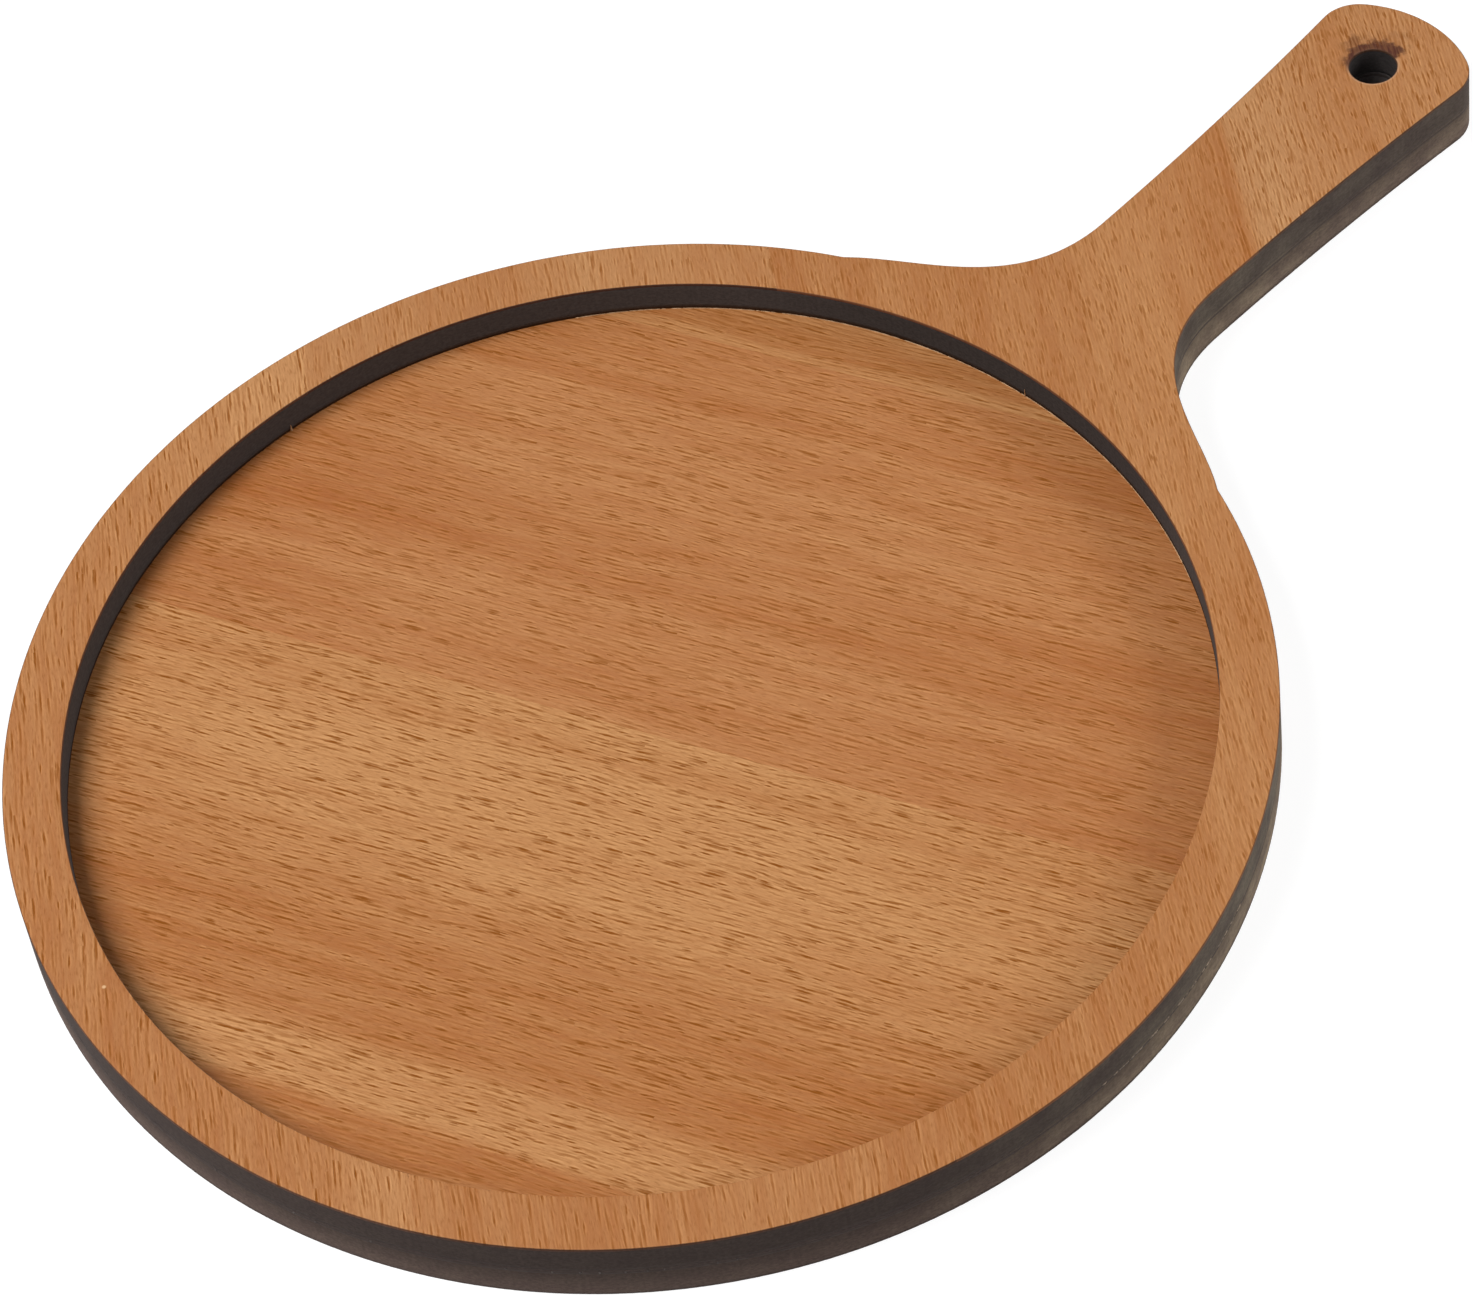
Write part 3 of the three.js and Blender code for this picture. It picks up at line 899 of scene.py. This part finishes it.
def glue_string(bearing, height, width):
    """A string of glue drawn up the tray's wall: broad at the floor, drawn out to a point."""
    string = bmesh.new()
    taper = {"radius1": width / 2, "radius2": width / 8, "depth": height}
    bmesh.ops.create_cone(string, cap_ends=True, segments=STRING_SIDES, **taper)
    place = cmath.rect(TRAY_RADIUS - width / 4, math.radians(bearing))
    stand = Matrix.Translation((place.real, place.imag, joint_low.z + height / 2))
    bmesh.ops.transform(string, matrix=stand, verts=string.verts)
    mesh = bpy.data.meshes.new("glue_string")
    string.to_mesh(mesh)
    string.free()
    return mesh


GLUE_BEADS = glue_tree()
for place, tones, radius, start, end, spacing, chance, length, height in GLUE_STRETCHES:
    path = plan_curve([arc(0, radius, math.radians(start), math.radians(end))], closed=False)
    beads = {"Spacing": spacing, "Chance": chance, "Bead length": length, "Bead height": height}
    beads |= {"Level": joint_low.z, "Seed": GLUE_SEED, "Finish": glue_material(f"{place}_glue", tones)}
    add_piece(f"glue_beads_{place}", run_tree(GLUE_BEADS, path, beads), "hidden_veneer")
string_glue = glue_material("string_glue", WOODY_GLUE)
for number, (bearing, height, width) in enumerate(GLUE_STRINGS, 1):
    string = glue_string(bearing, height, width)
    string.materials.append(string_glue)
    add_piece(f"glue_string_{number}", string, "hidden_veneer")


# The rim and handle veneer: beech on the upper sheet's face, its grain turned well away from the floor's. The
# tray's opening cuts one of its four strips in two, so it is five leaves, glued down before the cut.
rim_low, rim_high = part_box("frame_leaf_2")
FRAME_GRAIN = math.radians(52)
RIM_JOINT = 0.0454
MIDDLE_JOINT = -0.0356
HANDLE_JOINT = -math.sin(FRAME_GRAIN) * (TIP_X - 0.05)
FRAME_SHIFT = 0.43
FRAME_TONES = ((165, 98, 49), (197, 141, 91))
HANDLE_TONES = ((179, 120, 73), (198, 146, 98))
BACK_TONES = ((178, 116, 68), (198, 145, 96))

# The smoke beside the hole: its reach, the share of that reach at each bearing in degrees, and two spots
# that lie apart, each with its place, radius and strength
SMOKE = (72, 30, 14)
SMOKE_REACH = 0.0035
SMOKE_BEARINGS = [(-30, 0), (-21, 0.4), (-12, 0.8), (2, 0.95), (15, 0.84), (30, 0.72), (45, 0.72), (60, 0.8)]
SMOKE_BEARINGS += [(75, 0.62), (90, 0.52), (105, 0.36), (120, 0.32), (135, 0.22), (150, 0.12), (178, 0)]
SMOKE_SPOTS = [((0.1896, -0.0005), 0.0016, 0.9), ((0.1861, 0.0066), 0.0024, 0.5)]
SMOKE_LICKS = (600, 600, 1)
SMOKE_STREAKS = (0.0035, 0.0005)
LEAST_REACH = 0.0001
PALE_RING_AND_HIGHLIGHT = (214, 176, 144)
SPECK = (-0.092, 0.026, rim_high.z)
SPECK_TONE = (232, 186, 138)


def hole_smoke(tree, wood):
    """Smoke that the cut of the hole left on one side of it, with a pale ring round the hole itself: pale
    fibres at its edge, and a painted highlight on them.
    """
    in_plan = plan_place(tree)
    from_hole = vector_math(tree, "SUBTRACT", in_plan, (HOLE.real, HOLE.imag, 0))
    beyond = scalar_math(tree, "SUBTRACT", vector_math(tree, "LENGTH", from_hole), HOLE_RADIUS)
    plan = axes_of(tree, from_hole)
    bearing = scalar_math(tree, "ARCTAN2", plan["Y"], plan["X"])
    share = tone_ramp(tree, bearing, [(math.radians(degrees), part) for degrees, part in SMOKE_BEARINGS])
    licks = noise(tree, scaled(tree, in_plan, SMOKE_LICKS), 3.0, 0.6, "2D")
    licked = eased(tree, licks, 0.3, 0.7, 0.65 * SMOKE_REACH, 1.3 * SMOKE_REACH)
    reach = scalar_math(tree, "ADD", scalar_math(tree, "MULTIPLY", share, licked), LEAST_REACH)
    depth = scalar_math(tree, "DIVIDE", beyond, reach)
    haze = eased(tree, depth, 2.1, 0.9, 0.0, 0.2)
    smoke = scalar_math(tree, "MAXIMUM", eased(tree, depth, 1.25, 0.35), haze)
    smoke = scalar_math(tree, "MULTIPLY", smoke, eased(tree, share, 0.0, 0.4))
    for (x, y), radius, strength in SMOKE_SPOTS:
        away = vector_math(tree, "DISTANCE", in_plan, (x, y, 0))
        ragged = scalar_math(tree, "DIVIDE", away, eased(tree, licks, 0.3, 0.7, 0.6 * radius, 1.4 * radius))
        smoke = scalar_math(tree, "MAXIMUM", smoke, eased(tree, ragged, 1.0, 0.3, 0.0, strength))
    turned = add_node(tree, "ShaderNodeMapping", {"Vector": in_plan, "Rotation": (0, 0, -FRAME_GRAIN)})
    streaks = grain_noise(tree, turned, *SMOKE_STREAKS)
    smoke = scalar_math(tree, "MULTIPLY", smoke, eased(tree, streaks, 0.3, 0.65, 0.84, 1.0))
    # Partly painted highlight: a pale ring round the hole's edge, partly pale fibres of the cut.
    ring_and_highlight = scalar_math(tree, "MULTIPLY", eased(tree, beyond, 0.0006, 0.0002), 0.35)
    with_ring_and_highlight = mixed(tree, ring_and_highlight, wood, linear(PALE_RING_AND_HIGHLIGHT))
    return mixed(tree, smoke, with_ring_and_highlight, linear(SMOKE))


def pale_speck(tree, wood):
    """A pale grain of filler, rubbed into a pore of the rim."""
    away = vector_math(tree, "DISTANCE", object_place(tree), SPECK)
    return mixed(tree, eased(tree, away, 0.00045, 0.00015), wood, linear(SPECK_TONE))


rim_cut = veneer_cut | {"Seed": FRAME_CUT_SEED}
rim = run_tree(LASER_CUT, frame_curve, rim_cut | {"Back": rim_low.z, "Face": rim_high.z})
along_frame = Vector((math.cos(FRAME_GRAIN), math.sin(FRAME_GRAIN), 0))
rim_leaves = [
    (-BEYOND, HANDLE_JOINT, None),
    (HANDLE_JOINT, MIDDLE_JOINT, None),
    (MIDDLE_JOINT, RIM_JOINT, along_frame),
    (MIDDLE_JOINT, RIM_JOINT, -along_frame),
    (RIM_JOINT, BEYOND, None),
]
handle_end_bands = [(-0.157, 0.3), (-0.147, 0.32), (-0.139, 0.05), (-0.132, 0.3), (-0.124, 0.66)]
handle_end_bands += [(-0.122, 0.85), (-0.1205, 0.78), (-0.119, 0.64), (-0.1178, 0.6), (-0.1164, 0.42)]
neck_bands = [(-0.1164, 0.6), (-0.1155, 0.38), (-0.1148, 0.26), (-0.1138, 0.4), (-0.112, 0.54)]
neck_bands += [(-0.1105, 0.47), (-0.1, 0.6), (-0.09, 0.68), (-0.084, 0.56), (-0.078, 0.47), (-0.06, 0.52)]
neck_bands += [(-0.046, 0.45), (-0.0356, 0.42)]
back_bands = [(-0.0356, 0.36), (-0.02, 0.45), (-0.0034, 0.6), (0.008, 0.32), (0.0136, 0.25), (0.03, 0.4)]
back_bands += [(0.0454, 0.5)]
rim_bands = [
    handle_end_bands,
    neck_bands,
    [(-0.0356, 0.35), (-0.0136, 0.6), (0.0034, 0.48), (0.02, 0.38), (0.0454, 0.48)],
    back_bands,
    [(0.0454, 1.0), (0.054, 0.98), (0.06, 0.62), (0.0725, 0.56), (0.083, 0.46), (0.103, 0.42)],
]
rim_woods = [
    {"tones": HANDLE_TONES, "rind": (84, 52, 32), "pores": 0.92, "coarse": 0.85, "marks": hole_smoke},
    {"tones": FRAME_TONES, "rind": (118, 72, 42), "pores": 0.8, "faint": 0.05, "coarse": 0.8, "rise": 0.2},
    {"tones": FRAME_TONES, "rind": (78, 45, 25), "pores": 0.95, "faint": 0.12, "coarse": 1.3},
    {"tones": BACK_TONES, "rind": (74, 40, 21), "pores": 0.85, "faint": 0.12},
    {"tones": FRAME_TONES, "rind": (95, 58, 36), "pores": 1.05, "faint": 0.08, "coarse": 1.2, "rise": 1.9},
]
rim_woods[-1]["marks"] = pale_speck
for number, (leaf, bands, wood) in enumerate(zip(rim_leaves, rim_bands, rim_woods), 1):
    start, end, ahead = leaf
    cuts = strip_cuts(FRAME_GRAIN, start, end)
    if ahead is not None:
        cuts.append((Vector(), ahead))
    stretch = FRAME_SHIFT * number
    beech = beech_material(f"rim_beech_{number}", FRAME_GRAIN, bands, stretch, UPPER_EDGE, BEECH | wood)
    lay_leaf(f"rim_veneer_{number}", rim, cuts, beech, "frame_veneer", f"frame_leaf_{number}")


# The stage: a pale floor that shows white to the camera and still takes the board's shadow, a large soft box
# high on the left, a low white card on the right, a weak box in front, and the camera where the photograph
# was taken from.
FLOOR_HALF = 2.5
FLOOR_LIFT = -0.00002
FLOOR_ALBEDO = (0.8, 0.8, 0.8, 1)
FLOOR_GLOW = 0.88
FLOOR_SHOWN = (0.26, 0.26, 0.26, 1)
WHITE = (1, 1, 1, 1)
WORLD_LIGHT = 0.075


def shown_ray(tree):
    """1 for what the camera sees, straight on, in a gloss or through glass, and 0 for light on its way."""
    path = tree.nodes.new("ShaderNodeLightPath").outputs
    seen = scalar_math(tree, "MAXIMUM", path["Is Camera Ray"], path["Is Glossy Ray"])
    return scalar_math(tree, "MAXIMUM", seen, path["Is Transmission Ray"])


def floor_material():
    """White to the camera apart from shadows, and a plain pale grey to the light that falls on it."""
    material, tree = start_material("white_floor")
    plain = add_node(tree, "ShaderNodeBsdfDiffuse", {"Color": FLOOR_ALBEDO})
    glow = add_node(tree, "ShaderNodeEmission", {"Color": WHITE, "Strength": FLOOR_GLOW})
    shade = add_node(tree, "ShaderNodeBsdfDiffuse", {"Color": FLOOR_SHOWN})
    white = add_node(tree, "ShaderNodeAddShader", {0: glow, 1: shade})
    surface = add_node(tree, "ShaderNodeMixShader", {0: shown_ray(tree), 1: plain, 2: white})
    add_node(tree, "ShaderNodeOutputMaterial", {"Surface": surface})
    return material


ground = bpy.data.meshes.new("white_floor")
corners = [(-1, -1), (1, -1), (1, 1), (-1, 1)]
ground.from_pydata([(x * FLOOR_HALF, y * FLOOR_HALF, FLOOR_LIFT) for x, y in corners], [], [(0, 1, 2, 3)])
ground.materials.append(floor_material())
floor_object = bpy.data.objects.new("white_floor", ground)
board.link(floor_object)

world = bpy.data.worlds.new("studio")
bpy.context.scene.world = world
world.use_nodes = True
world.node_tree.nodes.clear()
seen_white = shown_ray(world.node_tree)
strength = eased(world.node_tree, seen_white, 0.0, 1.0, WORLD_LIGHT, 1.0)
sky = add_node(world.node_tree, "ShaderNodeBackground", {"Color": WHITE, "Strength": strength})
add_node(world.node_tree, "ShaderNodeOutputWorld", {"Surface": sky})


def soft_box(name, bearing, elevation, distance, width, height, power):
    """A soft box that looks at the plate's middle from this bearing and elevation, in degrees."""
    lamp = bpy.data.lights.new(name, "AREA")
    lamp.shape = "RECTANGLE"
    lamp.size = width
    lamp.size_y = height
    lamp.energy = power
    flat = cmath.rect(math.cos(math.radians(elevation)), math.radians(bearing))
    way = Vector((flat.real, flat.imag, math.sin(math.radians(elevation))))
    holder = bpy.data.objects.new(name, lamp)
    holder.location = way * distance
    holder.rotation_euler = way.to_track_quat("Z", "Y").to_euler()
    holder.visible_camera = False
    board.link(holder)


soft_box("left_box", bearing=147, elevation=54, distance=1.3, width=0.8, height=0.8, power=15.9)
soft_box("right_card", bearing=-40, elevation=21, distance=0.5, width=0.6, height=0.13, power=1.05)
soft_box("front_box", bearing=232, elevation=40, distance=1.5, width=1.0, height=0.6, power=1.5)

CAMERA_PLACE = Vector((-0.34294, -0.44597, 0.69625))
CAMERA_RIGHT = Vector((0.688365, -0.718464, -0.099818))
CAMERA_FORWARD = Vector((0.40644, 0.496018, -0.767315))
LENS = 135.77
SENSOR_WIDTH = 36.0
camera = bpy.data.cameras.new("camera")
camera.sensor_fit = "HORIZONTAL"
camera.sensor_width = SENSOR_WIDTH
camera.lens = LENS
camera.clip_start = 0.05
camera.clip_end = 20
viewer = bpy.data.objects.new("camera", camera)
back = -CAMERA_FORWARD
turn = Matrix((CAMERA_RIGHT, back.cross(CAMERA_RIGHT), back)).transposed()
viewer.matrix_world = Matrix.Translation(CAMERA_PLACE) @ turn.to_4x4()
board.link(viewer)
bpy.context.scene.camera = viewer
bpy.context.scene.view_settings.view_transform = "Standard"
